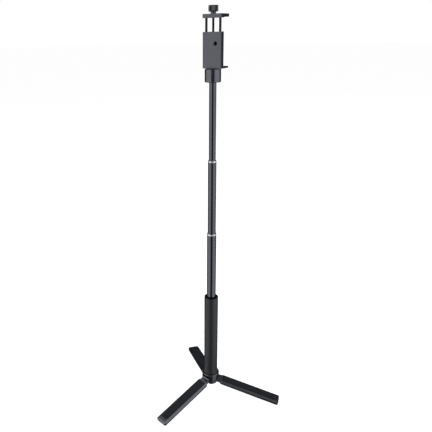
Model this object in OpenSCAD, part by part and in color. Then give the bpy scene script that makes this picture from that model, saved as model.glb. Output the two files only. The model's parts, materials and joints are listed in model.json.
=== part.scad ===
// Selfie stick that stands on three folding legs, with a screw clamp for a phone at the top.
// Origin: on the axis of the pole, in the plane that the feet stand on. +Z runs up the pole,
// -Y is the side of the clamp that faces the user, and the phone is held on the +Y side.

/* [Legs] */
// Width of a leg
leg_w = 24.6; // [20:0.2:30]
// Thickness of a leg
leg_t = 7.8; // [6.4:0.2:9.4]
// Length of a leg from its hinge pin to its tip
leg_len = 133; // [110:1:160]
// Turn of the first leg about the pole, in degrees
leg_turn = 15.6; // [0:0.2:60]
// Diameter of the hinge pin
pin_d = 3; // [2.4:0.2:3.6]
// Clearance between two folded legs
fold_gap = 1.86; // [1:0.02:3]

/* [Tripod hub] */
// Height of the hub's underside above the floor
hub_z = 24; // [20:0.5:29]
// Height of the hub
hub_h = 23; // [20:0.5:28]
// From a hinge pin's axis to the outside of the hub
hub_edge = 5.2; // [4.4:0.1:6.2]

/* [Handle] */
// Length of the grip
grip_len = 175.6; // [146:0.2:211]
// Thickness of the grip
grip_t = 3.1; // [2.4:0.1:4]
// Height of the rubber washer between the hub and the grip
neck_h = 2.4; // [1.6:0.2:3]

/* [Pole] */
// Outside diameter of the thick lower section
tube_3_d = 17.4; // [14.4:0.2:21]
// Wall of each section
tube_wall = 0.7; // [0.5:0.1:0.9]
// Space for a bush between the lower and middle sections
space_3 = 0.5; // [0.4:0.05:0.8]
// Space for a bush between the middle and upper sections
space_2 = 0.7; // [0.4:0.05:0.9]
// Length of the lower section that shows when the pole is pulled out
show_3 = 134.4; // [110:0.2:162]
// Length of the middle section that shows when the pole is pulled out
show_2 = 139; // [110:0.2:167]
// Length of the upper section that shows when the pole is pulled out
show_1 = 133.4; // [110:0.2:161]
// Height of the polished ring at the top of a section
ring_h = 3; // [2:0.2:4]

/* [Pole head] */
// Diameter of the round head
head_d = 27.2; // [24:0.2:33]
// Height of the round head
head_h = 20.6; // [18:0.2:25]

/* [Phone clamp] */
// Width of the clamp
clamp_w = 34; // [28:0.5:41]
// Thickness of the clamp block
clamp_t = 9.6; // [8:0.2:11.6]
// Height of the clamp block
clamp_h = 56.6; // [46:0.2:67]
// Depth of the lower jaw's shelf behind the block
low_reach = 16.8; // [12:0.2:20]
// Depth of the upper jaw's shelf behind the block
top_reach = 17.2; // [12:0.2:21]
// Distance between the block and the upper jaw
jaw_rise = 20.7; // [5:0.1:26]
// Height of the upper jaw
jaw_h = 6; // [4.6:0.1:7]
// Diameter of the guide rods
rod_d = 4; // [3:0.2:4.8]
// Diameter of the clamp screw
screw_d = 4; // [3.2:0.2:4.8]
// Diameter of the thumb knob
knob_d = 16; // [12:0.2:18]
// Height of the knurled part of the thumb knob
knob_h = 9.5; // [6:0.1:12]
// Height of the accessory thread above the underside of the block
port_up = 38.7; // [20:0.1:46]

/* [Hidden] */
$fn = 96;
eps = 0.01;                      // overshoot of a cut past a face

run_fit = 0.05;                  // clearance of a part that turns or slides in another
stop_gap = 0.3;                  // clearance of a part that stops against another
leg_count = 3;

// legs: pin_r leaves the folded legs side by side, leg_slope puts their feet on the floor
pin_over = 3.2;                  // height of a leg's top face over its pin
under = leg_t - pin_over;
shoulder = 3.1;                  // step from the knuckle out to the full width
bevel_w = 2.9;                   // width of the bevel along a leg's edge
bevel_h = 2.8;
under_bevel = 1;                 // bevel along the lower edges
pin_r = under + (leg_w / 2 - under_bevel + fold_gap) / tan(180 / leg_count);
pin_z = hub_z + 9.6;
knuckle_r = 4.3;
slot_w = leg_w - 2 * shoulder;
knuckle_w = slot_w - 1.4;
washer_t = 0.6;
root_x = 10.5;                   // where a leg reaches its full width
tip_r = 4;                       // rounding of the tip's corners, seen from above
pad_from = 13.6;                 // inner end of the rubber inlay
pad_end_gap = 9.6;               // from the outer end of the inlay to the tip
pad_w = leg_w - 2 * bevel_w - 2;
pad_t = 1.4;
pad_proud = 0.25;
groove = 0.5;                    // gap round the inlay
foot_from = 17;                  // inner end of the foot, measured back from the tip
foot_to = 5;
foot_h = 1.4;                    // height of the foot at its outer end
foot_plug_r = 3;
foot_plug_h = 2;
sole_x = leg_len - foot_to;
leg_slope = asin((pin_z - foot_h) / norm([sole_x, under])) - atan2(under, sole_x);
// the folded feet lie side by side too: half a foot's width fits beside its neighbours
foot_in = pin_r + floor_at(leg_len - foot_from);
foot_w = 2 * foot_in * tan(180 / leg_count) - fold_gap;

// hub
hub_r = pin_r + hub_edge;
core_r = pin_r - knuckle_r - stop_gap; // solid middle of the hub, inside the slots
flange_t = 2.2;                  // top of the hub, above the slots
rim_chamfer = 1.5;
slot_top = hub_z + hub_h - flange_t;
hub_top = hub_z + hub_h;
pin_len = 2 * (sqrt(hub_r * hub_r - pin_r * pin_r) - 0.6);
screw_head_d = 10;
screw_head_h = 5;
hub_screw_d = 6;
head_recess = 1;                 // how deep the screw head lies in the hub

// handle
handle_wall = 1.1;
space_0 = 0.6;                   // space for a bush between the handle and the lower section
mouth_r = tube_3_d / 2 + space_0 + handle_wall;
grip_r = mouth_r + grip_t;
grip_z = hub_top + neck_h;
grip_top = grip_z + grip_len;
flare_h = 9.4;                   // flared foot of the grip
flare_r = grip_r + 1.8;
mouth_round = 1.2;
mouth_deep = 3.2;                // how far the bush lies below the rim
plug_h = 9.6;
bush_h = 14;

// pole: three sliding sections, each with a tail piece that a bush stops
collar_h = 5;                    // each of a tail piece's two collars
band_h = 6;                      // friction band between the collars
band_gap = 3;
tail_h = 2 * collar_h + band_h;
bore_0 = tube_3_d / 2 + space_0;
bore_3 = tube_3_d / 2 - tube_wall;
tube_2_d = 2 * (bore_3 - space_3);
bore_2 = tube_2_d / 2 - tube_wall;
tube_1_d = 2 * (bore_2 - space_2);
bore_1 = tube_1_d / 2 - tube_wall;
ring_3_top = grip_top + show_3;
ring_2_top = ring_3_top + show_2;
head_z = ring_2_top + show_1;
tail_3_top = grip_top - mouth_deep - bush_h - stop_gap;
tail_2_top = ring_3_top - ring_h - bush_h - stop_gap;
tail_1_top = ring_2_top - ring_h - bush_h - stop_gap;

// head
socket_h = 14;                   // depth of the head's socket for the upper section
head_round = 1.6;
stud_d = 6.35;
stud_up = 8.4;                   // how far the stud reaches into the clamp
washer_h = 1.1;
washer_d = head_d - 1.8;
set_screw_d = 3;
set_screw_len = 5;

// clamp
swivel_gap = 0.1;
clamp_z = head_z + head_h + washer_h + swivel_gap;
clamp_top = clamp_z + clamp_h;
jaw_z = clamp_top + jaw_rise;
edge_r = 0.8;
low_shelf_t = 1.5;
top_shelf_t = 1.7;
jaw_pad_t = 0.7;
back_pad_t = 0.8;
lip_t = 2;                       // lip at the end of the upper jaw's shelf
lip_h = 3;
low_lip_t = 1.6;                 // lower lip at the end of the lower shelf
low_lip_h = 1.4;
gusset_w = 8;                    // curved web between the upper jaw's body and its shelf
gusset_steps = 8;
rod_edge = 4.4;                  // from a guide rod's axis to the side of the block
rod_x = clamp_w / 2 - rod_edge;
rod_in = 26;                     // rod length inside the block
rod_hold = 4;                    // rod length inside the jaw
rod_bore = clamp_h - 5.6;
screw_in = 22;                   // screw length inside the block
screw_bore = clamp_h - stud_up - 2.8;
clip_r = 3.2;
clip_h = 0.8;
neck_r = 4.5;
neck_len = 3;
knob_chamfer = 0.8;
port_x = rod_x / 2;
port_r = 2.55;                   // minor radius of a 1/4-20 thread
port_deep = clamp_t - 1.4;
port_chamfer = 0.8;

// a rectangle with rounded corners, centred
module round_rect(w, h, r) {
    square([w - 2 * r, h], center = true);
    square([w, h - 2 * r], center = true);
    for (x = [-1, 1], y = [-1, 1])
        translate([x * (w / 2 - r), y * (h / 2 - r)]) circle(r, $fn = 48);
}

// a ring between two radii
module ring(r_in, r_out, h) {
    difference() {
        cylinder(r = r_out, h = h);
        translate([0, 0, -eps]) cylinder(r = r_in, h = h + 2 * eps);
    }
}

// puts its children into the frame of leg k: the pin at the origin, +X out along the open leg
module at_leg(k) {
    rotate([0, 0, leg_turn + k * 360 / leg_count])
        translate([pin_r, 0, pin_z])
            rotate([0, leg_slope, 0]) children();
}

// the same place, not tilted
module at_pin(k) {
    rotate([0, 0, leg_turn + k * 360 / leg_count])
        translate([pin_r, 0, pin_z]) children();
}

// lays a cylinder across a leg
module across(r, len) {
    rotate([90, 0, 0]) cylinder(r = r, h = len, center = true);
}

// ---- tripod hub and handle ----

module hub_outline() {
    r = hub_r;
    round_r = 5;
    rotate_extrude() {
        translate([0, hub_z + round_r]) square([r, hub_h - round_r - rim_chamfer]);
        translate([0, hub_z]) square([r - round_r, round_r]);
        intersection() {
            translate([r - round_r, hub_z + round_r]) circle(round_r);
            translate([0, hub_z]) square([r, round_r]);
        }
        polygon([[0, hub_top - rim_chamfer], [r, hub_top - rim_chamfer],
            [r - rim_chamfer, hub_top], [0, hub_top]]);
    }
}

module hub() {
    color("#3a3b3e") difference() {
        hub_outline();
        for (k = [0 : leg_count - 1]) {
            rotate([0, 0, leg_turn + k * 360 / leg_count])
                translate([core_r, -slot_w / 2, hub_z - eps])
                    cube([hub_r * 2, slot_w, slot_top - hub_z + eps]);
            at_pin(k) across(pin_d / 2, hub_r * 2);
        }
        translate([0, 0, hub_z - eps]) cylinder(d = hub_screw_d + 0.2, h = hub_h + 2 * eps);
        translate([0, 0, hub_z - eps])
            cylinder(d = screw_head_d + 0.5, h = screw_head_h + head_recess + eps);
    }
}

module hub_screw() {
    color("#8c8d90") difference() {
        union() {
            translate([0, 0, hub_z + head_recess]) cylinder(d = screw_head_d, h = screw_head_h);
            translate([0, 0, hub_z + head_recess + screw_head_h])
                cylinder(d = hub_screw_d, h = hub_h + neck_h + plug_h - screw_head_h - 4);
        }
        translate([0, 0, hub_z + head_recess - eps]) cylinder(r = 2.9, h = 3, $fn = 6);
    }
}

module hub_washer() {
    color("#111113") translate([0, 0, hub_top]) ring(hub_screw_d / 2 + 0.1, flare_r - 1.4, neck_h);
}

module base_plug() {
    color("#1c1c1e") translate([0, 0, grip_z]) ring(hub_screw_d / 2 + run_fit, bore_0, plug_h);
}

module handle_tube() {
    color("#2a2a2c") translate([0, 0, grip_z])
        ring(bore_0, mouth_r, grip_len - mouth_deep);
}

module grip_sleeve() {
    r = grip_r;
    flare = flare_r - r;
    bend = (flare * flare + flare_h * flare_h) / (2 * flare);
    color("#38393b") rotate_extrude() difference() {
        union() {
            translate([0, grip_z]) square([r, grip_len - mouth_round]);
            translate([0, grip_z + grip_len - mouth_round - eps])
                square([r - mouth_round, mouth_round + eps]);
            translate([r - mouth_round, grip_top - mouth_round]) circle(mouth_round, $fn = 48);
            difference() {
                translate([0, grip_z]) square([flare_r, flare_h]);
                translate([r + bend, grip_z + flare_h]) circle(bend, $fn = 192);
            }
        }
        translate([-eps, grip_z - eps]) square([mouth_r + eps, grip_len + 2 * eps]);
    }
}

module mouth_bush() {
    color("#0c0c0d") translate([0, 0, grip_top - mouth_deep - bush_h])
        ring(tube_3_d / 2 + run_fit, bore_0, bush_h);
}

// ---- legs ----

module leg_pins() {
    color("#2c2c2e") for (k = [0 : leg_count - 1]) at_pin(k) across(pin_d / 2, pin_len);
}

module leg_washers() {
    gap = (slot_w - knuckle_w) / 2;
    color("#b08a3c") for (k = [0 : leg_count - 1], s = [-1, 1])
        at_pin(k) translate([0, s * (slot_w / 2 - washer_t / 2), 0]) difference() {
            across(knuckle_r - 0.5, washer_t);
            across(pin_d / 2, gap * 4);
        }
}

// cross-section of a leg, with bevelled edges
module leg_section() {
    top = pin_over;
    bottom = -under;
    half = leg_w / 2;
    polygon([[-half + bevel_w, top], [half - bevel_w, top], [half, top - bevel_h],
        [half, bottom + under_bevel], [half - under_bevel, bottom],
        [-half + under_bevel, bottom], [-half, bottom + under_bevel], [-half, top - bevel_h]]);
}

// side view of a leg, with the same bevel at its tip and a square root
module leg_profile() {
    top = pin_over;
    bottom = -under;
    polygon([[root_x, top], [leg_len - bevel_w, top], [leg_len, top - bevel_h],
        [leg_len, bottom + 2], [leg_len - 2, bottom], [root_x, bottom]]);
}

module leg_body() {
    mid = (root_x + leg_len) / 2;
    intersection() {
        rotate([90, 0, 90]) linear_extrude(leg_len) leg_section();
        rotate([90, 0, 0]) translate([0, 0, -leg_w]) linear_extrude(2 * leg_w) leg_profile();
        translate([mid, 0, -leg_t]) linear_extrude(3 * leg_t)
            round_rect(leg_len - root_x, leg_w, tip_r);
    }
}

// recess or body of the inlay: grown by gap on every side
module inlay(gap, low, high) {
    to = leg_len - pad_end_gap;
    mid = (pad_from + to) / 2;
    translate([mid, 0, low]) linear_extrude(high - low)
        round_rect(to - pad_from + 2 * gap, pad_w + 2 * gap, 3 + gap);
}

module knuckle() {
    across(knuckle_r, knuckle_w);
    translate([0, -knuckle_w / 2, -knuckle_r]) cube([root_x + 2, knuckle_w, knuckle_r + 2.2]);
    // square heel that meets the hub's core and stops the leg when it is open
    rotate([0, -leg_slope, 0])
        translate([stop_gap / 2 - (pin_r - core_r), -knuckle_w / 2, 0.6])
            cube([2.4, knuckle_w, 2]);
}

module leg_shell(k) {
    pocket_from = 20;
    pocket_to = leg_len - 24;
    wall = 2.2;
    color("#3c3d40") at_leg(k) difference() {
        union() {
            leg_body();
            knuckle();
        }
        inlay(groove, pin_over - pad_t, pin_over + 1);
        across(pin_d / 2 + run_fit, leg_w * 2);
        for (i = [0 : 2]) {
            len = (pocket_to - pocket_from - 2 * wall) / 3;
            translate([pocket_from + i * (len + wall), -leg_w / 2 + wall, -under - eps])
                cube([len, leg_w - 2 * wall, leg_t - pad_t - wall]);
        }
        translate([leg_len - (foot_from + foot_to) / 2, 0, -under - eps])
            cylinder(r = foot_plug_r, h = foot_plug_h + eps);
    }
}

module leg_pad(k) {
    color("#242528") at_leg(k) inlay(0, pin_over - pad_t, pin_over + pad_proud);
}

// height of the floor in a leg's own frame, at a distance x from the pin
function floor_at(x) = (x * sin(leg_slope) - pin_z) / cos(leg_slope);

module leg_foot(k) {
    bottom = -under;
    a = leg_len - foot_from;
    b = leg_len - foot_to;
    color("#141415") at_leg(k) {
        rotate([90, 0, 0]) translate([0, 0, -foot_w / 2]) linear_extrude(foot_w)
            polygon([[a, bottom], [b, bottom], [b, floor_at(b)], [a, floor_at(a)]]);
        translate([(a + b) / 2, 0, bottom - 1]) cylinder(r = foot_plug_r, h = foot_plug_h + 1);
    }
}

module leg_a_shell() leg_shell(0);
module leg_a_pad() leg_pad(0);
module leg_a_foot() leg_foot(0);
module leg_b_shell() leg_shell(1);
module leg_b_pad() leg_pad(1);
module leg_b_foot() leg_foot(1);
module leg_c_shell() leg_shell(2);
module leg_c_pad() leg_pad(2);
module leg_c_foot() leg_foot(2);

// ---- pole ----

// one section: a thin tube from the foot of its tail piece to the height top
module section(tail_top, r_in, r_out, top) {
    low = tail_top - tail_h;
    color("#4b4c50") translate([0, 0, low]) ring(r_in, r_out, top - low);
}

// two collars round the foot of a section: they slide in the section below, and the upper one
// meets its bush when the section is pulled right out
module tail(tail_top, r_tube, r_run) {
    color("#101011") for (z = [tail_top - tail_h, tail_top - collar_h])
        translate([0, 0, z]) ring(r_tube, r_run - run_fit, collar_h);
}

// split spring band between the collars, which holds the section where it is put
module band(tail_top, r_tube, r_run) {
    low = tail_top - tail_h + collar_h;
    color("#b89a56") translate([0, 0, low + 0.1]) difference() {
        ring(r_tube + run_fit, r_run - run_fit / 2, band_h - 0.2);
        translate([0, -band_gap / 2, -eps]) cube([r_run + 1, band_gap, band_h]);
    }
}

// guide bush inside the top of a section
module guide(top, r_in, r_out) {
    color("#0c0c0d") translate([0, 0, top - ring_h - bush_h]) ring(r_in, r_out, bush_h);
}

// polished ring that closes the top of a section with a rounded shoulder
module end_ring(top, r_in, r_out) {
    shoulder = r_out - r_in - 0.2;
    color("#c9cbce") rotate_extrude() {
        translate([r_in, top - ring_h]) square([r_out - r_in, ring_h - shoulder]);
        translate([r_in, top - shoulder - eps]) square([0.2, shoulder + eps]);
        intersection() {
            translate([r_out - shoulder, top - shoulder]) circle(shoulder, $fn = 64);
            translate([r_in, top - shoulder]) square([r_out - r_in, shoulder]);
        }
    }
}

module tube_3() section(tail_3_top, bore_3, tube_3_d / 2, ring_3_top - ring_h);
module tail_3() tail(tail_3_top, tube_3_d / 2, bore_0);
module band_3() band(tail_3_top, tube_3_d / 2, bore_0);
module bush_3() guide(ring_3_top, tube_2_d / 2 + run_fit, bore_3);
module ring_3() end_ring(ring_3_top, tube_2_d / 2 + run_fit, tube_3_d / 2);

module tube_2() section(tail_2_top, bore_2, tube_2_d / 2, ring_2_top - ring_h);
module tail_2() tail(tail_2_top, tube_2_d / 2, bore_3);
module band_2() band(tail_2_top, tube_2_d / 2, bore_3);
module bush_2() guide(ring_2_top, tube_1_d / 2 + run_fit, bore_2);
module ring_2() end_ring(ring_2_top, tube_1_d / 2 + run_fit, tube_2_d / 2);

module tube_1() section(tail_1_top, bore_1, tube_1_d / 2, head_z + socket_h);
module tail_1() tail(tail_1_top, tube_1_d / 2, bore_2);
module band_1() band(tail_1_top, tube_1_d / 2, bore_2);

// ---- head ----

module pole_head() {
    r = head_d / 2;
    color("#4b4c50") difference() {
        rotate_extrude() union() {
            translate([0, head_z + head_round]) square([r, head_h - head_round]);
            translate([0, head_z]) square([r - head_round, head_round + eps]);
            translate([r - head_round, head_z + head_round]) circle(head_round, $fn = 48);
        }
        translate([0, 0, head_z - eps]) cylinder(d = tube_1_d, h = socket_h + eps);
        translate([0, 0, head_z]) cylinder(d = stud_d, h = head_h + eps);
        translate([0, 0, head_z + socket_h / 2]) rotate([-90, 0, 0])
            cylinder(d = set_screw_d, h = head_d);
    }
}

module head_stud() {
    top = head_z + head_h + washer_h + stud_up;
    under = head_z + socket_h;
    color("#8c8d90") {
        translate([0, 0, under - 4]) cylinder(r = bore_1 - 0.2, h = 4, $fn = 6);
        translate([0, 0, under - eps]) cylinder(d = stud_d, h = top - under + eps);
    }
}

module head_set_screw() {
    color("#1c1c1e") translate([0, tube_1_d / 2, head_z + socket_h / 2]) rotate([-90, 0, 0])
        difference() {
            cylinder(d = set_screw_d, h = set_screw_len);
            translate([0, 0, set_screw_len - 1.6]) cylinder(r = 0.85, h = 2, $fn = 6);
        }
}

module head_washer() {
    color("#0c0c0d") translate([0, 0, head_z + head_h]) ring(stud_d / 2, washer_d / 2, washer_h);
}

// ---- clamp ----

module clamp_block() {
    back = clamp_t / 2;
    color("#5a5d66") difference() {
        union() {
            translate([0, 0, clamp_z]) linear_extrude(clamp_h)
                round_rect(clamp_w, clamp_t, edge_r);
            translate([-clamp_w / 2, 0, clamp_z]) cube([clamp_w, back + low_reach, low_shelf_t]);
            translate([-clamp_w / 2, back + low_reach - low_lip_t, clamp_z])
                cube([clamp_w, low_lip_t, low_shelf_t + low_lip_h]);
        }
        for (x = [-rod_x, rod_x])
            translate([x, 0, clamp_top - rod_bore]) cylinder(d = rod_d + 2 * run_fit, h = rod_bore + 1);
        translate([0, 0, clamp_top - screw_bore])
            cylinder(d = screw_d + 2 * run_fit, h = screw_bore + 1);
        translate([0, 0, clamp_z - eps]) cylinder(d = stud_d + run_fit, h = stud_up + 0.6);
        translate([port_x, -back - eps, clamp_z + port_up]) rotate([-90, 0, 0]) {
            cylinder(r = port_r, h = port_deep + eps);
            cylinder(r1 = port_r + port_chamfer, r2 = port_r, h = port_chamfer + eps);
        }
    }
}

module back_pad() {
    w = clamp_w - 6;
    h = clamp_h - 12;
    color("#141415") translate([0, clamp_t / 2, clamp_z + low_shelf_t + jaw_pad_t + 2 + h / 2])
        rotate([-90, 0, 0]) linear_extrude(back_pad_t) round_rect(w, h, 3);
}

module lower_pad() {
    from = clamp_t / 2 + back_pad_t;
    to = clamp_t / 2 + low_reach - low_lip_t;
    color("#141415") translate([-clamp_w / 2 + 1, from, clamp_z + low_shelf_t])
        cube([clamp_w - 2, to - from, jaw_pad_t]);
}

// side view of the upper jaw: body, curved web, shelf and lip
module jaw_section() {
    back = clamp_t / 2;
    shelf_z = jaw_h - top_shelf_t;
    end = back + top_reach;
    web = [for (i = [0 : gusset_steps])
        let (t = 90 * i / gusset_steps) [back + gusset_w * (1 - cos(t)), shelf_z * sin(t)]];
    polygon(concat([[-back, 0]], web, [[end - lip_t, shelf_z], [end - lip_t, shelf_z - lip_h],
        [end, shelf_z - lip_h], [end, jaw_h], [-back, jaw_h]]));
}

module upper_jaw() {
    color("#5a5d66") translate([0, 0, jaw_z]) difference() {
        translate([-clamp_w / 2, 0, 0]) rotate([90, 0, 90]) linear_extrude(clamp_w) jaw_section();
        translate([0, 0, -1]) cylinder(d = screw_d + 2 * run_fit, h = jaw_h + 2);
        translate([0, 0, -1]) cylinder(r = clip_r + 0.3, h = 1 + clip_h + 0.5);
        for (x = [-rod_x, rod_x])
            translate([x, 0, -1]) cylinder(d = rod_d, h = 1 + rod_hold);
    }
}

module upper_pad() {
    from = clamp_t / 2 + gusset_w + 0.4;
    to = clamp_t / 2 + top_reach - lip_t;
    color("#141415")
        translate([-clamp_w / 2 + 1, from, jaw_z + jaw_h - top_shelf_t - jaw_pad_t])
            cube([clamp_w - 2, to - from, jaw_pad_t]);
}

module guide_rod(side) {
    color("#2c2c2e") translate([side * rod_x, 0, clamp_top - rod_in])
        cylinder(d = rod_d, h = rod_in + jaw_rise + rod_hold);
}

module guide_rod_left() guide_rod(-1);
module guide_rod_right() guide_rod(1);

module clamp_screw() {
    low = clamp_top - screw_in;
    top = jaw_z + jaw_h + swivel_gap + neck_len + knob_h - 2;
    clip_z = jaw_z + clip_h / 2;
    color("#2c2c2e") difference() {
        translate([0, 0, low]) cylinder(d = screw_d, h = top - low);
        translate([0, 0, jaw_z + 0.2]) ring(screw_d / 2 - 0.4, screw_d, clip_h);
    }
}

module thumb_knob() {
    foot = jaw_z + jaw_h + swivel_gap;
    wide = foot + neck_len;
    r = knob_d / 2;
    c = knob_chamfer;
    color("#505257") difference() {
        rotate_extrude() polygon([[0, foot], [neck_r + 0.4, foot], [neck_r, foot + 1],
            [neck_r, wide - c], [r - 2 * c, wide - c], [r, wide + c / 2],
            [r, wide + knob_h - c], [r - c, wide + knob_h], [0, wide + knob_h]]);
        translate([0, 0, foot - eps]) cylinder(d = screw_d, h = neck_len + knob_h - 2 + eps);
    }
}

module screw_clip() {
    color("#8c8d90") translate([0, 0, jaw_z + 0.25]) difference() {
        ring(screw_d / 2 - 0.35, clip_r, clip_h - 0.1);
        translate([0, -1, -eps]) cube([clip_r + 1, 2, clip_h + 1]);
    }
}

hub();
hub_screw();
hub_washer();
base_plug();
handle_tube();
grip_sleeve();
mouth_bush();
leg_pins();
leg_washers();
leg_a_shell();
leg_a_pad();
leg_a_foot();
leg_b_shell();
leg_b_pad();
leg_b_foot();
leg_c_shell();
leg_c_pad();
leg_c_foot();
tube_3();
tail_3();
band_3();
bush_3();
ring_3();
tube_2();
tail_2();
band_2();
bush_2();
ring_2();
tube_1();
tail_1();
band_1();
pole_head();
head_stud();
head_set_screw();
head_washer();
clamp_block();
back_pad();
lower_pad();
upper_jaw();
upper_pad();
guide_rod_left();
guide_rod_right();
clamp_screw();
thumb_knob();
screw_clip();
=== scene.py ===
# %% [markdown]
# # A selfie stick on its folding tripod
#
# The stick has ten bodies: a handle with a hub, three folding legs, three telescopic tubes, and a
# screw clamp with a moving jaw and a thumbscrew. The CAD model is loaded first. It fixes where
# everything is, and nothing in it is moved here. This script gives it its surfaces, rounds the
# edges that a machine shop would break, and makes the parts whose detail a plain solid can't hold.

# %% Load the frame
import json
import math

import bmesh
import bpy
from mathutils import Matrix, Vector


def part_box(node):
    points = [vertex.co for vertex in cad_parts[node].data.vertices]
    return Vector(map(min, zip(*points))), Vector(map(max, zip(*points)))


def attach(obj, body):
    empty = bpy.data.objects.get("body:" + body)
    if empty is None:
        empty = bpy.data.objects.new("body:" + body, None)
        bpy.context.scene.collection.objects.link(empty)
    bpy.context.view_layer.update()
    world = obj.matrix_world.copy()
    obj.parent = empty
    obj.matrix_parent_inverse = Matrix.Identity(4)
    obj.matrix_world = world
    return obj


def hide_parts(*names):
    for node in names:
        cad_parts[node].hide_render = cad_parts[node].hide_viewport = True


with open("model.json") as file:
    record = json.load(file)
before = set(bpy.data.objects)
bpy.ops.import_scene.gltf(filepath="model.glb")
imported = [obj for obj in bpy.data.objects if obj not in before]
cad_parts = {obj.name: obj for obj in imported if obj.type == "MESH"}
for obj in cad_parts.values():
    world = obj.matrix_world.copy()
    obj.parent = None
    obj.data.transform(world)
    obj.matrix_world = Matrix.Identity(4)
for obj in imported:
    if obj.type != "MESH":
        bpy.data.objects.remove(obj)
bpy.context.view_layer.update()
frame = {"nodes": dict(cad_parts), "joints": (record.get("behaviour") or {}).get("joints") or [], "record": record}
nodes = frame["nodes"]
joints = {joint["name"]: joint for joint in frame["joints"]}
slot_of = {part["node"]: part["material_slot"] for part in frame["record"]["subparts"]}
MM = 0.001

# %% [markdown]
# ## The camera
#
# The stick was seen from a little above its own top, about eight tenths of a metre away, and the
# picture keeps its pole left of the lens's centre. That needs a small sideways shift of the
# sensor instead of a turn of the camera, because a turn would lean the pole.

# %% Place the camera
FOCAL_MM = 40.01
SENSOR_MM = 36.0
SIDE_SHIFT = 0.1076                # of the sensor, as a share of its width
DISTANCE = 829.3 * MM
EYE_HEIGHT = 708.1 * MM
EYE_TURN = math.radians(28.3)      # how far round the clamp the eye stands
PAN = math.radians(-5.386)
TILT = math.radians(20.734)
ROLL = math.radians(-1.483)

eye = Vector((DISTANCE * math.sin(EYE_TURN), -DISTANCE * math.cos(EYE_TURN), EYE_HEIGHT))
heading = EYE_TURN - PAN
forward = Vector((-math.sin(heading) * math.cos(TILT), math.cos(heading) * math.cos(TILT),
                  -math.sin(TILT)))
level = forward.cross(Vector((0, 0, 1))).normalized()
upright = level.cross(forward)
right = level * math.cos(ROLL) + upright * math.sin(ROLL)
up = upright * math.cos(ROLL) - level * math.sin(ROLL)

lens = bpy.data.cameras.new("view")
lens.sensor_width = SENSOR_MM
lens.lens = FOCAL_MM
lens.shift_x = SIDE_SHIFT
camera = bpy.data.objects.new("view", lens)
camera.matrix_world = Matrix.Translation(eye) @ Matrix((right, up, -forward)).transposed().to_4x4()
bpy.context.scene.collection.objects.link(camera)
bpy.context.scene.camera = camera
print("camera at", [round(v, 3) for v in eye])

# %% [markdown]
# ## Light and floor
#
# Dark metal shows what it reflects, so the lights are the picture. Two tall softboxes stand left
# and right of the object, and each tube then has a bright band down either flank and a dark
# middle. The eye looks down at the pole, so a low point on it mirrors a place below the floor:
# the two boxes reach down there too, and the floor neither hides them in a mirror nor shades
# them. A box overhead lights the floor and the tops of the legs. A small one high in front
# catches every chamfer that faces up and forward: the rim of the hub, the end rings, the legs'
# bevels.

# %% Hang four softboxes
def softbox(name, azimuth, elevation, distance, wide, tall, radiance, aim=(0, 0, 0.38)):
    """An area light that faces aim. Azimuth is counted from the camera's side, to its right."""
    turn = EYE_TURN + math.radians(azimuth)
    rise = math.radians(elevation)
    away = Vector((math.sin(turn) * math.cos(rise), -math.cos(turn) * math.cos(rise), math.sin(rise)))
    light = bpy.data.lights.new(name, "AREA")
    light.shape = "RECTANGLE"
    light.size = wide
    light.size_y = tall
    light.energy = radiance * math.pi * wide * tall
    lamp = bpy.data.objects.new(name, light)
    lamp.location = Vector(aim) + away * distance
    lamp.rotation_euler = away.to_track_quat("Z", "Y").to_euler()
    lamp.visible_camera = False
    bpy.context.scene.collection.objects.link(lamp)


softbox("left_box", -66, 0, 1.2, 2.1, 2.7, 1.0, aim=(0, 0, 0.25))
softbox("right_box", 66, 0, 1.2, 2.1, 2.7, 1.0, aim=(0, 0, 0.25))
softbox("top_box", 180, 70, 2.2, 2.4, 2.4, 0.6)
softbox("front_box", 8, 52, 1.9, 1.3, 0.8, 0.3, aim=(0, 0, 0.1))

# %% Lay the floor and set the sky
FILL_STRENGTH = 0.06               # what the sky adds to the softboxes
FLOOR_SIZE = 60                    # metres, so its edge is never in sight
PAPER_GREY = 0.93
PAPER_GLOW = 0.93                  # lifts the paper to a pale, even tone

world = bpy.data.worlds.new("studio")
bpy.context.scene.world = world
world.use_nodes = True
sky = world.node_tree.nodes
sky.clear()
seen = sky.new("ShaderNodeBackground")
seen.inputs["Strength"].default_value = 1.0
fill = sky.new("ShaderNodeBackground")
fill.inputs["Strength"].default_value = FILL_STRENGTH
path = sky.new("ShaderNodeLightPath")
blend = sky.new("ShaderNodeMixShader")
sky_out = sky.new("ShaderNodeOutputWorld")
world.node_tree.links.new(path.outputs["Is Camera Ray"], blend.inputs["Fac"])
world.node_tree.links.new(fill.outputs["Background"], blend.inputs[1])
world.node_tree.links.new(seen.outputs["Background"], blend.inputs[2])
world.node_tree.links.new(blend.outputs["Shader"], sky_out.inputs["Surface"])
for background in (seen, fill):
    background.inputs["Color"].default_value = (1, 1, 1, 1)

bpy.ops.object.select_all(action="DESELECT")
bpy.ops.mesh.primitive_plane_add(size=FLOOR_SIZE)
floor = bpy.context.active_object
floor.name = "floor"
floor.visible_glossy = False
floor.visible_shadow = False
paper = bpy.data.materials.new("pale_paper")
paper.use_nodes = True
paper_skin = paper.node_tree.nodes["Principled BSDF"]
paper_skin.inputs["Base Color"].default_value = (PAPER_GREY, PAPER_GREY, PAPER_GREY, 1)
paper_skin.inputs["Roughness"].default_value = 1.0
paper_skin.inputs["Specular IOR Level"].default_value = 0.0
paper_skin.inputs["Emission Color"].default_value = (1, 1, 1, 1)
paper_skin.inputs["Emission Strength"].default_value = PAPER_GLOW
floor.data.materials.append(paper)
bpy.context.scene.view_settings.view_transform = "Standard"
print("four softboxes, one floor")

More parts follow.
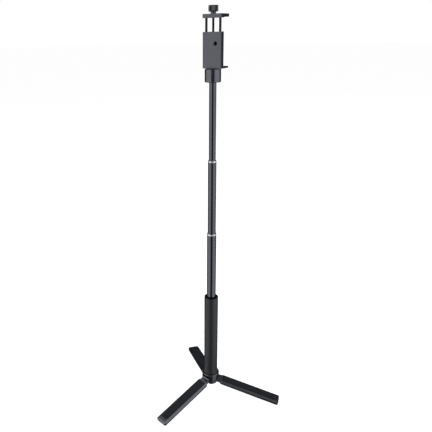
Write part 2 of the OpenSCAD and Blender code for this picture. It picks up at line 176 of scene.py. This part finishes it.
# %% [markdown]
# ## Shared surface effects
#
# Five effects come back in many of the finishes, so each is a node group, built once. They read
# Object coordinates: every piece has its origin on the pole axis at floor height, so a pattern
# made there stays put when a leg folds or a tube slides. *Fine grain* is the sandy skin of blasted
# metal or moulded plastic. *Drawn lines* run along the pole, from drawing the tube through its
# die. *Turned lines* run round it, from the lathe. *Handling* is the slow change of gloss that
# hands leave. *Flecks* are the pale specks that rubber collects.

# %% Build the node groups
def new_group(name, inputs, outputs):
    """An empty shader group with float inputs {name: default} and float outputs [name]."""
    group = bpy.data.node_groups.new(name, "ShaderNodeTree")
    for label, value in inputs.items():
        made = group.interface.new_socket(label, in_out="INPUT", socket_type="NodeSocketFloat")
        made.default_value = value
    for label in outputs:
        group.interface.new_socket(label, in_out="OUTPUT", socket_type="NodeSocketFloat")
    start = group.nodes.new("NodeGroupInput")
    end = group.nodes.new("NodeGroupOutput")
    return group, start, end


def noise_field(group, stretch, scale_socket, detail=2.0, roughness=0.5):
    """Noise on Object coordinates, stretched by three factors, at the scale a socket gives."""
    place = group.nodes.new("ShaderNodeTexCoord")
    stretched = group.nodes.new("ShaderNodeVectorMath")
    stretched.operation = "MULTIPLY"
    stretched.inputs[1].default_value = stretch
    noise = group.nodes.new("ShaderNodeTexNoise")
    noise.inputs["Detail"].default_value = detail
    noise.inputs["Roughness"].default_value = roughness
    group.links.new(place.outputs["Object"], stretched.inputs[0])
    group.links.new(stretched.outputs["Vector"], noise.inputs["Vector"])
    group.links.new(scale_socket, noise.inputs["Scale"])
    return noise.outputs["Fac"]


def line_group(name, stretch, scale, detail):
    """A group that puts out noise as a height from 0 to 1, and the same centred on 0."""
    group, start, end = new_group(name, {"Scale": scale}, ["Height", "Change"])
    field = noise_field(group, stretch, start.outputs["Scale"], detail)
    centred = group.nodes.new("ShaderNodeMath")
    centred.operation = "SUBTRACT"
    centred.inputs[1].default_value = 0.5
    group.links.new(field, centred.inputs[0])
    group.links.new(field, end.inputs["Height"])
    group.links.new(centred.outputs["Value"], end.inputs["Change"])
    return group


PATTERNS = {
    "grain": line_group("fine_grain", (1, 1, 1), 2600.0, 2.0),
    "drawn": line_group("drawn_lines", (1, 1, 0.02), 1500.0, 3.0),
    "turned": line_group("turned_lines", (0.02, 0.02, 1), 2400.0, 3.0),
    "handling": line_group("handling", (1, 1, 0.5), 38.0, 4.0),
}


def fleck_group():
    """Sparse specks: the tips of a fine noise, as a mask from 0 to 1."""
    group, start, end = new_group("flecks", {"Scale": 900.0, "Share": 0.3}, ["Mask"])
    field = noise_field(group, (1, 1, 1), start.outputs["Scale"], 1.0)
    floor_level = group.nodes.new("ShaderNodeMath")
    floor_level.operation = "SUBTRACT"
    floor_level.inputs[0].default_value = 1.0
    group.links.new(start.outputs["Share"], floor_level.inputs[1])
    tips = group.nodes.new("ShaderNodeMapRange")
    group.links.new(field, tips.inputs["Value"])
    group.links.new(floor_level.outputs["Value"], tips.inputs["From Min"])
    group.links.new(tips.outputs["Result"], end.inputs["Mask"])
    return group


PATTERNS["flecks"] = fleck_group()
print("node groups:", sorted(PATTERNS))

# %% [markdown]
# ## A finish from its parts
#
# Every finish here is one Principled shader, so one helper builds it: a colour that drifts a
# little, a roughness that changes with handling, and one fine relief in a Bump node. What
# is the same all over, such as metalness or sheen, is set on the shader itself.

# %% Write the finish builder
def add_group(material, key, scale=None):
    node = material.node_tree.nodes.new("ShaderNodeGroup")
    node.node_tree = PATTERNS[key]
    if scale is not None:
        node.inputs["Scale"].default_value = scale
    return node


def scaled(material, socket, factor, offset):
    """socket x factor + offset, as a new socket."""
    sums = material.node_tree.nodes.new("ShaderNodeMath")
    sums.operation = "MULTIPLY_ADD"
    material.node_tree.links.new(socket, sums.inputs[0])
    sums.inputs[1].default_value = factor
    sums.inputs[2].default_value = offset
    return sums.outputs["Value"]


def finish(name, colour, roughness, metallic=0.0, relief=("grain", 2600.0, 0.02), drift=0.12,
           gloss_change=0.12, fleck=0.0, fleck_colour=(0.2, 0.2, 0.2), **fixed):
    """A material: relief is (pattern, scale, height in mm), fixed are plain sockets of the shader."""
    material = bpy.data.materials.new(name)
    material.use_nodes = True
    tree = material.node_tree
    skin = tree.nodes["Principled BSDF"]
    skin.inputs["Metallic"].default_value = metallic
    for socket, value in fixed.items():
        skin.inputs[socket.replace("_", " ")].default_value = value

    hands = add_group(material, "handling")
    pattern, scale, height = relief
    marks = add_group(material, pattern, scale)
    change = tree.nodes.new("ShaderNodeMath")
    change.operation = "ADD"
    tree.links.new(hands.outputs["Change"], change.inputs[0])
    tree.links.new(marks.outputs["Change"], change.inputs[1])

    shade = tree.nodes.new("ShaderNodeMix")
    shade.data_type = "RGBA"
    shade.inputs["A"].default_value = (*[c * (1 - drift) for c in colour], 1)
    shade.inputs["B"].default_value = (*[c * (1 + drift) for c in colour], 1)
    tree.links.new(scaled(material, change.outputs["Value"], 1.0, 0.5), shade.inputs["Factor"])
    painted = shade.outputs["Result"]
    if fleck:
        specks = add_group(material, "flecks")
        dusted = tree.nodes.new("ShaderNodeMix")
        dusted.data_type = "RGBA"
        dusted.inputs["B"].default_value = (*fleck_colour, 1)
        tree.links.new(painted, dusted.inputs["A"])
        tree.links.new(scaled(material, specks.outputs["Mask"], fleck, 0.0), dusted.inputs["Factor"])
        painted = dusted.outputs["Result"]
    tree.links.new(painted, skin.inputs["Base Color"])

    rough = scaled(material, change.outputs["Value"], gloss_change, roughness)
    tree.links.new(rough, skin.inputs["Roughness"])

    bump = tree.nodes.new("ShaderNodeBump")
    bump.inputs["Strength"].default_value = 1.0
    bump.inputs["Distance"].default_value = height * MM
    tree.links.new(marks.outputs["Height"], bump.inputs["Height"])
    tree.links.new(bump.outputs["Normal"], skin.inputs["Normal"])
    return material


def paint(obj, material):
    obj.data.materials.clear()
    obj.data.materials.append(material)


# %% [markdown]
# ## The finishes
#
# The pole, its head and the clamp are anodised aluminium: real metal under a hard dark film, so
# they are metallic with a dark colour and a satin roughness. The legs and the hub have the same
# film over a blasted, duller skin. The grip and the inlays of the legs are matte moulded rubber.
# Only the two end rings of the tubes are bright.

# %% Mix the metals
pole_metal = finish("pole_metal", (0.108, 0.115, 0.130), 0.18, 1.0, ("drawn", 1500.0, 0.004))
head_metal = finish("head_metal", (0.134, 0.140, 0.160), 0.26, 1.0, ("turned", 2400.0, 0.005))
clamp_metal = finish("clamp_metal", (0.112, 0.117, 0.132), 0.34, 1.0, ("grain", 3000.0, 0.008))
knob_metal = finish("knob_metal", (0.118, 0.122, 0.134), 0.28, 1.0, ("turned", 2600.0, 0.004))
silver = finish("silver", (0.74, 0.75, 0.77), 0.38, 1.0, ("turned", 3000.0, 0.002), 0.03, 0.05)
steel = finish("steel", (0.42, 0.42, 0.43), 0.28, 1.0, ("turned", 1800.0, 0.003))
dark_steel = finish("dark_steel", (0.045, 0.045, 0.048), 0.30, 1.0, ("drawn", 1800.0, 0.003))
brass = finish("brass", (0.56, 0.40, 0.17), 0.30, 1.0, ("grain", 2400.0, 0.003))

# %% Mix the film of the legs and hub, the rubbers and the nylon
leg_paint = finish("leg_paint", (0.140, 0.148, 0.166), 0.32, 1.0, ("grain", 2800.0, 0.006))
hub_paint = finish("hub_paint", (0.115, 0.119, 0.130), 0.28, 1.0, ("grain", 2800.0, 0.006))
inlay_rubber = finish("inlay_rubber", (0.0225, 0.0262, 0.0330), 0.58, 0.0, ("grain", 1900.0, 0.03),
                      fleck=0.15, Specular_IOR_Level=0.28)
grip_rubber = finish("grip_rubber", (0.0105, 0.0120, 0.0145), 0.38, 0.0, ("grain", 1500.0, 0.02),
                     fleck=0.15, Specular_IOR_Level=0.42)
soft_rubber = finish("soft_rubber", (0.0115, 0.0125, 0.0140), 0.6, 0.0, ("grain", 1600.0, 0.02),
                     fleck=0.2)
nylon = finish("nylon", (0.012, 0.012, 0.013), 0.4, 0.0, ("grain", 2400.0, 0.008))
black_tube = finish("black_tube", (0.03, 0.03, 0.032), 0.3, 1.0, ("drawn", 1500.0, 0.004))

FINISH = {
    "cast_black": hub_paint, "leg_metal": leg_paint, "leg_inlay": inlay_rubber,
    "rubber": soft_rubber, "grip": grip_rubber, "nylon": nylon, "black_tube": black_tube,
    "pole_metal": pole_metal, "head_metal": head_metal, "clamp_metal": clamp_metal,
    "knob_metal": knob_metal, "silver": silver, "steel": steel, "dark_steel": dark_steel,
    "brass": brass,
}
for name, node in nodes.items():
    paint(node, FINISH[slot_of[name]])
print("finishes:", len(FINISH))

# %% [markdown]
# ## Working in edit mode
#
# An edit operator acts on whatever is selected, so every step here starts from nothing selected
# and picks its faces or edges by their place. These six helpers say that in a word each.

# %% Write the editing helpers
SMOOTH_BELOW = math.radians(32)    # faces that meet at less than this are shaded as one surface
SAME_POINT = 0.002 * MM            # points this near are merged


def only(obj):
    """Selects obj alone and makes it active."""
    bpy.ops.object.select_all(action="DESELECT")
    obj.select_set(True)
    bpy.context.view_layer.objects.active = obj


def edit(obj, kind):
    """Opens obj in edit mode with nothing selected. kind is VERT, EDGE or FACE."""
    only(obj)
    bpy.ops.object.mode_set(mode="EDIT")
    bpy.ops.mesh.select_mode(type=kind)
    bpy.ops.mesh.select_all(action="DESELECT")


def pick(obj, kind, test):
    """In edit mode, selects the elements of that kind that pass the test, and counts them."""
    bpy.ops.mesh.select_mode(type=kind)
    bpy.ops.mesh.select_all(action="DESELECT")
    shape = bmesh.from_edit_mesh(obj.data)
    parts = {"VERT": shape.verts, "EDGE": shape.edges, "FACE": shape.faces}[kind]
    chosen = [part for part in parts if test(part)]
    for part in chosen:
        part.select_set(True)
    bmesh.update_edit_mesh(obj.data)
    return len(chosen)


def close_edit():
    bpy.ops.object.mode_set(mode="OBJECT")


def add_modifier(obj, kind, **settings):
    """Adds a modifier, sets it and applies it."""
    only(obj)
    bpy.ops.object.modifier_add(type=kind)
    modifier = obj.modifiers[-1]
    for key, value in settings.items():
        setattr(modifier, key, value)
    bpy.ops.object.modifier_apply(modifier=modifier.name)


def settle(obj, name, body, slot):
    """Names a finished piece, puts its place into its mesh, paints it and lets it ride."""
    only(obj)
    bpy.ops.object.transform_apply(location=True, rotation=True, scale=True)
    bpy.ops.object.shade_smooth_by_angle(angle=SMOOTH_BELOW)
    obj.name = name
    obj.data.name = name
    paint(obj, FINISH[slot])
    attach(obj, body)


# %% [markdown]
# ## Broken edges
#
# A CAD solid has edges of no width, and they never catch the light. On the real parts every edge
# is broken by a fraction of a millimetre, and that thin line is what makes a dark part readable.
# For parts whose shape is already right, a copy of the CAD mesh is merged, its flat faces are put
# back together, and a Bevel modifier with an angle limit breaks the sharp edges only.

# %% Break the edges of the machined and moulded parts
SAME_PLANE = math.radians(0.5)     # flat faces within this angle are put back together
bodies = frame["record"]["behaviour"]["bodies"]
body_of_node = {node: body for body, names in bodies.items() for node in names}


def broken_edges(name, width_mm, segments=2, angle=28):
    """Stands in for a CAD node with a copy whose sharp edges are rounded."""
    node = nodes[name]
    copy = bpy.data.objects.new(name + "_finished", node.data.copy())
    bpy.context.scene.collection.objects.link(copy)
    edit(copy, "VERT")
    bpy.ops.mesh.select_all(action="SELECT")
    bpy.ops.mesh.remove_doubles(threshold=SAME_POINT)
    bpy.ops.mesh.dissolve_limited(angle_limit=SAME_PLANE)
    close_edit()
    add_modifier(copy, "BEVEL", width=width_mm * MM, segments=segments, limit_method="ANGLE",
                 angle_limit=math.radians(angle), use_clamp_overlap=True, miter_outer="MITER_ARC")
    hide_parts(name)
    settle(copy, name + "_finished", body_of_node[name], slot_of[name])
    add_modifier(copy, "WEIGHTED_NORMAL", mode="FACE_AREA", weight=100, keep_sharp=True)
    return copy


for part, width in {
    "hub": 0.35, "leg_a_shell": 0.35, "leg_b_shell": 0.35, "leg_c_shell": 0.35,
    "clamp_block": 0.3, "upper_jaw": 0.35, "pole_head": 0.25, "hub_screw": 0.3,
    "head_washer": 0.2, "hub_washer": 0.25, "back_pad": 0.25, "lower_pad": 0.25, "upper_pad": 0.25,
}.items():
    made = broken_edges(part, width)
    print(made.name, len(made.data.polygons), "faces")

# %% [markdown]
# ## The inlays of the legs
#
# Each leg carries a long strip of rubber, let into its upper side with a narrow groove all round.
# Its edges are moulded with a radius, so the light falls off into the groove, and its middle is
# sunk a little where the thumb rests. It is one box with four rounded corners, a rounded rim and
# a sunk middle. It is modelled once in the leg's own frame, where X runs out along the leg, and
# then set on each of the three legs with its own mesh.

# %% Find the frame of a leg
def leg_frame(letter):
    """X runs out along the open leg from its hinge pin, Y along the pin, Z is the upper side."""
    joint = joints[f"leg_{letter}_fold"]
    pin = Vector(joint["pos_m"])
    across = Vector(joint["axis"]).normalized()
    outward = Vector((pin.x, pin.y, 0)).normalized()
    slope = math.radians(90 - joint["range_deg"][1])   # a folded leg hangs straight down
    along = outward * math.cos(slope) - Vector((0, 0, math.sin(slope)))
    above = outward * math.sin(slope) + Vector((0, 0, math.cos(slope)))
    return Matrix.Translation(pin) @ Matrix((along, across, above)).transposed().to_4x4()


def local_box(name, matrix):
    """The lowest and highest corner of a CAD node, measured in another frame."""
    back = matrix.inverted()
    points = [back @ vertex.co for vertex in nodes[name].data.vertices]
    low = Vector([min(p[i] for p in points) for i in range(3)])
    high = Vector([max(p[i] for p in points) for i in range(3)])
    return low, high


def new_box(low, high):
    """A cube primitive between two corners, its size already in its mesh."""
    bpy.ops.object.select_all(action="DESELECT")
    bpy.ops.mesh.primitive_cube_add(size=1, location=(low + high) / 2, scale=high - low)
    bpy.ops.object.transform_apply(location=True, rotation=False, scale=True)
    return bpy.context.active_object


def near(a, b, slack=0.02 * MM):
    return abs(a - b) < slack


def on_each_leg(model, part, slot):
    """Copies a piece modelled in the leg's frame to all three legs, each with its own mesh."""
    for letter in "abc":
        piece = bpy.data.objects.new(f"leg_{letter}_{part}_moulded", model.data.copy())
        bpy.context.scene.collection.objects.link(piece)
        piece.matrix_world = leg_frame(letter)
        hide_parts(f"leg_{letter}_{part}")
        settle(piece, piece.name, f"leg_{letter}", slot)
        print(piece.name, len(piece.data.polygons), "faces")
    bpy.data.objects.remove(model)


# %% Mould the inlay
CORNER_R = 3 * MM
RIM_R = 0.5 * MM
RIM_ROOM = 0.55 * MM               # the flat that the rim's radius is cut from
FLAT_BORDER = 1.5 * MM             # stays level round the sunk middle
DISH_SLOPE = 0.5 * MM
DISH_DEEP = 0.16 * MM
MIDDLE_AREA = 1e-4                 # square metres: only the middle face is larger


def upright_edge(edge):
    """True for an edge that runs along Z."""
    start, end = (vertex.co for vertex in edge.verts)
    return near(start.x, end.x) and near(start.y, end.y)


low, high = local_box("leg_a_pad", leg_frame("a"))
inlay = new_box(low, high)
edit(inlay, "EDGE")
pick(inlay, "EDGE", upright_edge)
bpy.ops.mesh.bevel(offset=CORNER_R, segments=8, affect="EDGES")
pick(inlay, "FACE", lambda f: f.normal.z > 0.9)
bpy.ops.mesh.inset(thickness=RIM_ROOM)
pick(inlay, "EDGE", lambda e: all(near(v.co.z, high.z) for v in e.verts)
     and any(f.normal.z < 0.5 for f in e.link_faces))
bpy.ops.mesh.bevel(offset=RIM_R, segments=4, affect="EDGES")
pick(inlay, "FACE", lambda f: f.normal.z > 0.9 and f.calc_area() > MIDDLE_AREA)
bpy.ops.mesh.inset(thickness=FLAT_BORDER, depth=0.0)
bpy.ops.mesh.inset(thickness=DISH_SLOPE, depth=-DISH_DEEP)
close_edit()
on_each_leg(inlay, "pad", "leg_inlay")

# %% [markdown]
# ## The feet
#
# Under the end of each leg sits a rubber block whose sole lies flat on the floor although the leg
# slopes. A box takes the foot's outline, its lower corners are moved down to the floor, and four
# grooves across the sole give it grip: the sole is cut with bisect planes and every second strip
# is pushed in.

# %% Mould the foot
GROOVES = 4
GROOVE_DEEP = 0.5 * MM
PLUG_DEEP = 2 * MM                 # the CAD foot goes this far into the leg
PLUG_KEPT = 0.4 * MM               # what is left of that here, because the rest is out of sight
FOOT_EDGE = 0.18 * MM
place = leg_frame("a")
low, high = local_box("leg_a_foot", place)
under_leg = high.z - PLUG_DEEP + PLUG_KEPT
foot = new_box(low, Vector((high.x, high.y, under_leg)))
down = place.inverted().to_3x3() @ Vector((0, 0, -1))


def to_floor(x):
    """The height of the floor in the leg's frame, below a point x along the leg."""
    start = place @ Vector((x, 0, 0))
    return -start.z / place.to_3x3()[2][2]


edit(foot, "VERT")
for x in (low.x, high.x):
    pick(foot, "VERT", lambda v: near(v.co.x, x) and near(v.co.z, low.z))
    bpy.ops.transform.translate(value=(0, 0, to_floor(x) - low.z))
strips = 2 * GROOVES + 1
for cut in range(1, strips):
    bpy.ops.mesh.select_all(action="SELECT")
    bpy.ops.mesh.bisect(plane_co=(low.x + (high.x - low.x) * cut / strips, 0, 0), plane_no=(1, 0, 0))
step = (high.x - low.x) / strips
pick(foot, "FACE", lambda f: f.normal.z < -0.9
     and int((f.calc_center_median().x - low.x) / step) % 2 == 1)
bpy.ops.mesh.extrude_region_move(TRANSFORM_OT_translate={"value": (0, 0, GROOVE_DEEP)})
close_edit()
add_modifier(foot, "BEVEL", width=FOOT_EDGE, segments=2, limit_method="ANGLE",
             angle_limit=math.radians(40))
on_each_leg(foot, "foot", "rubber")

# %% [markdown]
# ## The thumb knob
#
# The knob is turned from bar: a thin neck, a wide head, and a straight knurl so that a thumb can
# turn it. A cylinder makes the neck. Its top is then drawn outwards and upwards ring by ring. At
# last every second point of the two wide rings is drawn towards the axis, which leaves a V-shaped
# tooth between each pair.

# %% Turn the knob
TEETH = 44
TOOTH_DEEP = 0.42 * MM
NECK_R = 4.5 * MM
NECK_H = 3 * MM
CHAMFER = 0.8 * MM
LEAD_IN = 0.2 * MM                 # how far the underside rises to its chamfer
DISH = 0.45 * MM                   # how far the top is turned out
CENTRE_MARK_R = 1.2 * MM
low, high = (Vector(corner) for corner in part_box("thumb_knob"))
knob_r = (high.x - low.x) / 2
bpy.ops.object.select_all(action="DESELECT")
bpy.ops.mesh.primitive_cylinder_add(vertices=2 * TEETH, radius=NECK_R, depth=NECK_H,
                                    location=(0, 0, low.z + NECK_H / 2))
knob = bpy.context.active_object
bpy.ops.object.transform_apply(location=True, rotation=False, scale=False)
edit(knob, "FACE")


def draw_ring(rise, radius, was):
    """Extrudes the selected top face by rise and resizes it from one radius to another."""
    bpy.ops.mesh.extrude_region_move(TRANSFORM_OT_translate={"value": (0, 0, rise)})
    bpy.ops.transform.resize(value=(radius / was, radius / was, 1), center_override=(0, 0, 0))


head_h = high.z - low.z - NECK_H
pick(knob, "FACE", lambda f: f.normal.z > 0.9)
steps = [(0, knob_r - 2 * CHAMFER), (LEAD_IN, knob_r - 1.3 * CHAMFER), (CHAMFER, knob_r),
         (head_h - 2 * CHAMFER - LEAD_IN, knob_r), (CHAMFER, knob_r - CHAMFER),
         (0, knob_r - 2.2 * CHAMFER), (-DISH, knob_r - 2.7 * CHAMFER), (0, CENTRE_MARK_R)]
was = NECK_R
for rise, radius in steps:
    draw_ring(rise, radius, was)
    was = radius


def tooth_gap(vertex):
    """True for every second point of the two wide rings."""
    turn = math.atan2(vertex.co.y, vertex.co.x) / (2 * math.pi) * 2 * TEETH
    return near(vertex.co.xy.length, knob_r) and round(turn) % 2 == 1


count = pick(knob, "VERT", tooth_gap)
shrink = 1 - TOOTH_DEEP / knob_r
bpy.ops.transform.resize(value=(shrink, shrink, 1), center_override=(0, 0, 0))
close_edit()
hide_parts("thumb_knob")
settle(knob, "thumb_knob_knurled", body_of_node["thumb_knob"], "knob_metal")
print("knob:", count, "points drawn in,", len(knob.data.polygons), "faces")

# %% [markdown]
# ## The clamp screw
#
# The screw that lifts the jaw has a real thread of 0.7 mm pitch. One tooth of the profile is drawn
# as five points, and the Screw modifier winds it up into a helix. Neighbouring turns are merged,
# and two bisect cuts close the ends square. Bisect treats points within 0.1 mm of its plane as
# lying on it, which is coarse beside a thread, so it is given a much finer threshold. The plain
# shank above the thread is the top face, drawn up into the knob.

# %% Cut the thread
PITCH = 0.7 * MM
THREAD_DEEP = 0.43 * MM
FLANK, CREST, ROOT = 0.40, 0.14, 0.06             # shares of the pitch
START_BELOW = 1.375 * PITCH                       # puts both cuts between rows of points
SPARE_TURNS = 3                                   # cut off again at the two ends
POINTS_ROUND = 28
CUT_SLACK = 0.0005 * MM
low, high = (Vector(corner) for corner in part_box("clamp_screw"))
crest_r = (high.x - low.x) / 2
root_r = crest_r - THREAD_DEEP
thread_turns = math.ceil((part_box("upper_jaw")[0][2] - low.z) / PITCH)
thread_top = low.z + thread_turns * PITCH
bpy.ops.object.select_all(action="DESELECT")
bpy.ops.mesh.primitive_plane_add(size=MM)
screw = bpy.context.active_object
edit(screw, "VERT")
bpy.ops.mesh.select_all(action="SELECT")
bpy.ops.mesh.merge(type="CENTER")
bpy.ops.transform.translate(value=(root_r, 0, low.z - START_BELOW))
for outward, rise in ((crest_r - root_r, FLANK), (0, CREST), (root_r - crest_r, FLANK), (0, ROOT)):
    bpy.ops.mesh.extrude_region_move(TRANSFORM_OT_translate={"value": (outward, 0, rise * PITCH)})
close_edit()
add_modifier(screw, "SCREW", axis="Z", angle=2 * math.pi, screw_offset=PITCH,
             iterations=thread_turns + SPARE_TURNS, steps=POINTS_ROUND,
             render_steps=POINTS_ROUND, use_merge_vertices=False)
edit(screw, "VERT")
bpy.ops.mesh.select_all(action="SELECT")
bpy.ops.mesh.remove_doubles(threshold=SAME_POINT)
bpy.ops.mesh.bisect(plane_co=(0, 0, low.z), plane_no=(0, 0, 1), clear_inner=True,
                    threshold=CUT_SLACK)
bpy.ops.mesh.select_all(action="SELECT")
bpy.ops.mesh.bisect(plane_co=(0, 0, thread_top), plane_no=(0, 0, 1), clear_outer=True,
                    threshold=CUT_SLACK)
for end in (low.z, thread_top):
    pick(screw, "EDGE", lambda e: e.is_boundary and all(near(v.co.z, end) for v in e.verts))
    bpy.ops.mesh.edge_face_add()
pick(screw, "FACE", lambda f: all(near(v.co.z, thread_top) for v in f.verts))
bpy.ops.mesh.extrude_region_move(TRANSFORM_OT_translate={"value": (0, 0, high.z - thread_top)})
bpy.ops.mesh.select_all(action="SELECT")
bpy.ops.mesh.normals_make_consistent(inside=False)
close_edit()
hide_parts("clamp_screw")
settle(screw, "clamp_screw_threaded", body_of_node["clamp_screw"], "dark_steel")
print("thread:", thread_turns, "turns,", len(screw.data.polygons), "faces")
